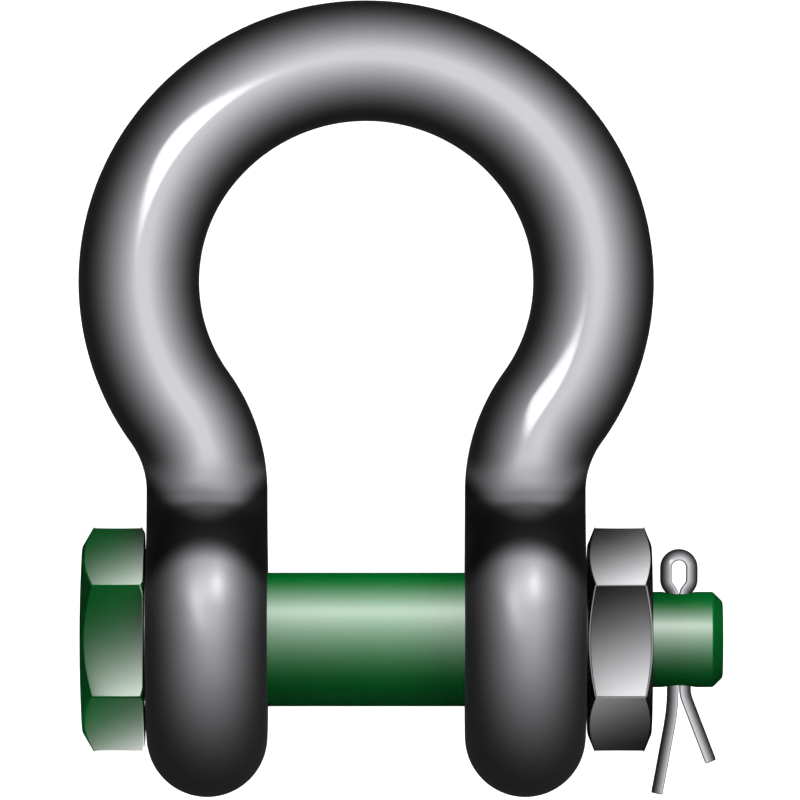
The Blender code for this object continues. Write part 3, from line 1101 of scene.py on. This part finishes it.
paint, nodes, place = new_finish("green_paint", bolt, PAINT_COLOUR, 0.0)
bump(nodes, paint, noise(nodes, place, PEEL_SIZE), PEEL_DEPTH)
least, more = PAINT_ROUGHNESS
roughen(nodes, paint, least + noise(nodes, place, PAINT_CLOUD_SIZE) * more)
paint.inputs["Specular IOR Level"].default_value = PAINT_GLOSS
print("paint: orange peel of", PEEL_SIZE * 1000, "mm")

# %% [markdown]
# The nut is bright plated steel, and its plating is a little clouded. The cotter pin is plain drawn wire,
# whose fine lines run along it. A noise that is squeezed sideways draws them.

# %% Plated steel
PLATE_COLOUR = (0.55, 0.55, 0.565)
PLATE_ROUGHNESS = (0.20, 0.04)
PLATE_CLOUD_SIZE = 0.004
PLATE_CLOUD_DETAIL = 3.0
PLATE_GRAIN_SIZE = 0.0008
PLATE_GRAIN_DEPTH = 0.0000008

plate, nodes, place = new_finish("plated_steel", nut, PLATE_COLOUR, 1.0)
least, more = PLATE_ROUGHNESS
roughen(nodes, plate, least + noise(nodes, place, PLATE_CLOUD_SIZE, PLATE_CLOUD_DETAIL) * more)
bump(nodes, plate, noise(nodes, place, PLATE_GRAIN_SIZE), PLATE_GRAIN_DEPTH)
print("plate: clouds of", PLATE_CLOUD_SIZE * 1000, "mm")

# %% Drawn wire
WIRE_COLOUR = (0.33, 0.33, 0.345)
WIRE_ROUGHNESS = (0.18, 0.10)
LINES_A_METRE = (3000, 60, 3000)
LINE_DEPTH = 0.000006

wire, nodes, place = new_finish("drawn_wire", pin, WIRE_COLOUR, 1.0)
values = {"Vector": place, "Scale": LINES_A_METRE}
lines = noise(nodes, nodes.add("ShaderNodeMapping", sockets=values), 1.0)
bump(nodes, wire, lines, LINE_DEPTH)
least, more = WIRE_ROUGHNESS
roughen(nodes, wire, least + lines * more)
print("wire:", LINES_A_METRE[0], "lines a metre across it")

# %% [markdown]
# Now that the pieces are there, each light can be told which of them it reaches. A light's brightness is
# given as what a reflection of it shows, and its power follows from its size. A grid, as photographers
# call the honeycomb before a soft box, keeps its light within a cone.


# %% Light helpers
def only_lights(light, *pieces):
    """Let a light reach these pieces and no others."""
    reached = bpy.data.collections.new(light.name + "_reaches")
    for piece in pieces:
        reached.objects.link(piece)
    light.light_linking.receiver_collection = reached


def add_light(name, kind, *pieces):
    """A light that the camera doesn't see and that reaches these pieces."""
    data = bpy.data.lights.new(name, kind)
    light = bpy.data.objects.new(name, data)
    bpy.context.scene.collection.objects.link(light)
    light.visible_camera = False
    only_lights(light, *pieces)
    return light


def aim(light, place, target, across):
    """Stand a light at a flat place, facing a target, with its width along a direction."""
    back = (place - target).normalized()
    width = (across - back * back.dot(across)).normalized()
    turn = Matrix((width, back.cross(width), back)).transposed().to_4x4()
    light.matrix_world = resting @ Matrix.Translation(place) @ turn


def size_box(light, width, height, radiance, reach=None):
    """An oval soft box that glows with this radiance. A grid keeps its light within the reach."""
    light.data.shape = "ELLIPSE"
    light.data.size = width
    light.data.size_y = height
    light.data.energy = math.pi * width * height * radiance
    if reach:
        light.data.spread = 2 * reach
        light.data.energy *= 1 - reach / math.tan(reach)


# %% [markdown]
# An oval soft box at the upper left makes the two crisp white highlights on the bow. It stands only half
# a metre away, so that the two bends see it in different directions. A small box with a grid, to the
# right of the crown, gives the eyes their soft highlights and leaves the bar alone. Another one stands
# below the head in the picture and lifts its lower flat. It isn't reflected.

# %% Soft boxes
BOX_PLACE = Vector((-0.153, 0.198, 0.488))
BOX_TARGET = Vector((0.140, 0.065, 0.106))
BOX_LONG_WAY = math.radians(148)
BOX_LONG = 0.320
BOX_SHORT = 0.120
BOX_RADIANCE = 1.9
FILL_PLACE = Vector((-0.058, -0.110, 0.045))
FILL_TARGET = Vector((-0.0585, 0, 0.006))
FILL_SIDE = 0.020
FILL_RADIANCE = 150.0
FILL_REACH = math.radians(13)
GRID_PLACE = Vector((0.110, 0.233, 0.269))
GRID_TARGET = Vector((0, 0.008, 0.032))
GRID_SIDE = 0.075
GRID_RADIANCE = 7.0
GRID_REACH = math.radians(11)

only_lights(steel_dome, bow, pin)
only_lights(paint_dome, bolt)
only_lights(plate_dome, nut)
along_bolt = Vector((1, 0, 0))
long_way = Vector((math.cos(BOX_LONG_WAY), math.sin(BOX_LONG_WAY), 0))
soft_box = add_light("soft_box", "AREA", bow, pin)
size_box(soft_box, BOX_LONG, BOX_SHORT, BOX_RADIANCE)
aim(soft_box, BOX_PLACE, BOX_TARGET, long_way)
head_fill = add_light("head_fill", "AREA", bolt)
size_box(head_fill, FILL_SIDE, FILL_SIDE, FILL_RADIANCE, FILL_REACH)
aim(head_fill, FILL_PLACE, FILL_TARGET, along_bolt)
head_fill.visible_glossy = False
grid_box = add_light("grid_box", "AREA", bow)
size_box(grid_box, GRID_SIDE, GRID_SIDE, GRID_RADIANCE, GRID_REACH)
aim(grid_box, GRID_PLACE, GRID_TARGET, along_bolt)
print("soft boxes:", [light.name for light in (soft_box, head_fill, grid_box)])

# %% [markdown]
# The floor has two suns of its own. The first, without shadows, makes the card white. The second is so
# wide that the shadow under the shackle is only a breath.

# %% Suns of the floor
FLOOR_STRENGTH = 3.4
FLOOR_ANGLE = math.radians(20)
SHADOW_STRENGTH = 3.77
SHADOW_ANGLE = math.radians(120)


def add_sun(name, direction, angle, strength):
    """A sun for the floor, whose disc is this wide."""
    sun = add_light(name, "SUN", floor)
    sun.data.angle = angle
    sun.data.energy = strength
    sun.matrix_world = direction.to_track_quat("Z", "Y").to_matrix().to_4x4()
    return sun


add_sun("floor_light", Vector((0, 0, 1)), FLOOR_ANGLE, FLOOR_STRENGTH).data.use_shadow = False
add_sun("shadow_light", bow_normal, SHADOW_ANGLE, SHADOW_STRENGTH)
print("suns:", FLOOR_STRENGTH, "and", SHADOW_STRENGTH)

# %% [markdown]
# The round bolt carries one soft bright line that fades slowly downwards. Two short light tents make it:
# tubes round the bolt's axis whose glow depends on the angle round it, one for the shank and one for the
# point. They are short, so that they don't brighten the flat faces of the head.

# %% Light tents
TENT_POINTS = 96
TENT_RADIUS = 0.090
TENT_PEAK = 12.5
TENT_BELOW = (math.radians(-100), math.radians(43))
TENT_BELOW_FALL = 3.4
TENT_ABOVE = (math.radians(50), math.radians(125))
TENT_ABOVE_FALL = 2.8
SHANK_TENT = {"low": -0.028, "high": 0.028, "turn": 0.0, "share": 1.0}
POINT_TENT = {"low": nut_end - 0.008, "high": point_end + 0.018, "turn": math.radians(-14), "share": 1.06}


def tent_glow(turn, share):
    """Brightest at one angle round the bolt, and falling away on both sides of it."""

    def glow(nodes, place):
        flat = flat_place(nodes)
        sideways = along(nodes, flat, "Y")
        angle = sideways.maths("ARCTAN2", sideways, along(nodes, flat, "Z")) - turn
        below = angle.ramp(*TENT_BELOW) ** TENT_BELOW_FALL
        above = angle.ramp(*TENT_ABOVE, 1.0, 0.0) ** TENT_ABOVE_FALL
        return below * above * TENT_PEAK * share

    return glow


def add_tent(name, low, high, turn, share):
    """An open tube round the bolt, from low to high along it."""
    bpy.ops.object.select_all(action="DESELECT")
    bpy.ops.mesh.primitive_cylinder_add(
        vertices=TENT_POINTS,
        radius=TENT_RADIUS,
        depth=high - low,
        end_fill_type="NOTHING",
        location=((low + high) / 2, 0, 0),
        rotation=(0, math.pi / 2, 0),
    )
    tent = bpy.context.object
    bpy.ops.object.transform_apply(location=True, rotation=True, scale=True)
    tent.matrix_world = resting
    bpy.ops.object.transform_apply(location=True, rotation=True, scale=True)
    make_glow(tent, name, tent_glow(turn, share))
    only_lights(tent, bolt)


add_tent("shank_tent", **SHANK_TENT)
add_tent("point_tent", **POINT_TENT)
print("tents", TENT_RADIUS * 1000, "mm round the bolt's axis")

# %% [markdown]
# A flat face mirrors one direction only, so it looks lifeless under a large light. Small graded lights
# close to the hexagons mend that: each stands where one face mirrors it, and the face then runs softly
# from dark to bright. Parametric is the place on the light itself, from 0 to 1, and makes the gradient.
# Only reflections see these lights, and they cast no shadow.

# %% A graded light for one flat face
PANEL_DISTANCE = 0.030
PANEL_LONG = 0.044
PANEL_WIDE = 0.022


def face_light(name, piece, middle, normal, towards, reach, power, radiance):
    """A light that a flat face mirrors, brighter and brighter towards a direction in the picture."""
    up = Vector((0, 0, 1))
    mirrored = 2 * normal.z * normal - up
    on_face = towards - up * towards.dot(normal) / normal.z
    light = add_light(name, "AREA", piece)
    light.data.shape = "RECTANGLE"
    light.data.size = PANEL_LONG
    light.data.size_y = PANEL_WIDE
    light.data.energy = math.pi * PANEL_LONG * PANEL_WIDE
    light.data.use_shadow = False
    light.visible_diffuse = False
    aim(light, middle + mirrored * PANEL_DISTANCE, middle, on_face)
    light.data.use_nodes = True
    nodes = Nodes(light.data.node_tree)
    side = along(nodes, nodes.add("ShaderNodeNewGeometry", output="Parametric"), "X")
    glow = side.ramp(0.5 - reach / PANEL_LONG, 0.5 + reach / PANEL_LONG) ** power * radiance
    nodes.plug(light.data.node_tree.nodes["Emission"].inputs["Strength"], glow)


print("a graded light is", PANEL_LONG * 1000, "mm long")

# %% [markdown]
# Three flats of the head and three of the nut face the camera. The gradient of each has a direction in
# the picture, a power that says how late it rises, a peak, and a reach to both sides of the face's
# middle. The head's lights stand a little inwards, so that its end face doesn't mirror them when the
# bolt turns. The nut also has an even light for the rounded edge between its end face and the flat that
# is uppermost.

# %% Graded lights for the hexagons
LOWER_RIGHT = Vector((0.35, -0.94, 0))
UPPER_LEFT = -LOWER_RIGHT
HEAD_INWARDS = 0.003
FLAT_TURN = {"middle": 0, "top": math.radians(60), "bottom": math.radians(-60)}
FLAT_REACH = {"middle": 0.0135, "top": 0.0085, "bottom": 0.0085}
HEAD_LIGHTS = {
    "middle": (LOWER_RIGHT, 3.5, 19.5),
    "top": (LOWER_RIGHT, 3.5, 9.6),
    "bottom": (LOWER_RIGHT, 3.5, 8.4),
}
NUT_LIGHTS = {
    "middle": (LOWER_RIGHT, 2.3, 1.8),
    "top": (LOWER_RIGHT, 2.99, 2.0),
    "bottom": (UPPER_LEFT, 2.3, 0.52),
}
EDGE_INWARDS = 0.001
EDGE_NORMAL = Vector((0.81, 0, 0.587))
EDGE_TOWARDS = Vector((0, 1, 0))
EDGE_RADIANCE = 0.5

apothem = ACROSS_FLATS / 2
for piece, place_along, lights in (
    (bolt, (head_end + head_seat) / 2 + HEAD_INWARDS, HEAD_LIGHTS),
    (nut, (nut_seat + nut_end) / 2, NUT_LIGHTS),
):
    for side, (towards, power, peak) in lights.items():
        normal = Vector((0, math.sin(FLAT_TURN[side]), math.cos(FLAT_TURN[side])))
        middle = along_bolt * place_along + normal * apothem
        name = piece.name + "_" + side
        face_light(name, piece, middle, normal, towards, FLAT_REACH[side], power, peak)
edge_middle = Vector((nut_end, 0, apothem - EDGE_INWARDS))
edge_reach = PANEL_LONG / 2
face_light("nut_bevel", nut, edge_middle, EDGE_NORMAL, EDGE_TOWARDS, edge_reach, 0.0, EDGE_RADIANCE)
print("graded lights:", len(HEAD_LIGHTS) + len(NUT_LIGHTS) + 1)

# %% [markdown]
# Each piece is shaded for itself, as in a catalogue's drawing. So none of the four shows up in the gloss
# of another.

# %% No reflections of each other
for piece in (bow, bolt, nut, pin):
    piece.visible_glossy = False
print("the pieces aren't reflected in each other")

visual_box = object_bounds()
cad_sizes, visual_sizes = ([round(x, 5) for c in box for x in c] for box in (cad_box, visual_box))
print("cad", cad_sizes, "visual", visual_sizes)
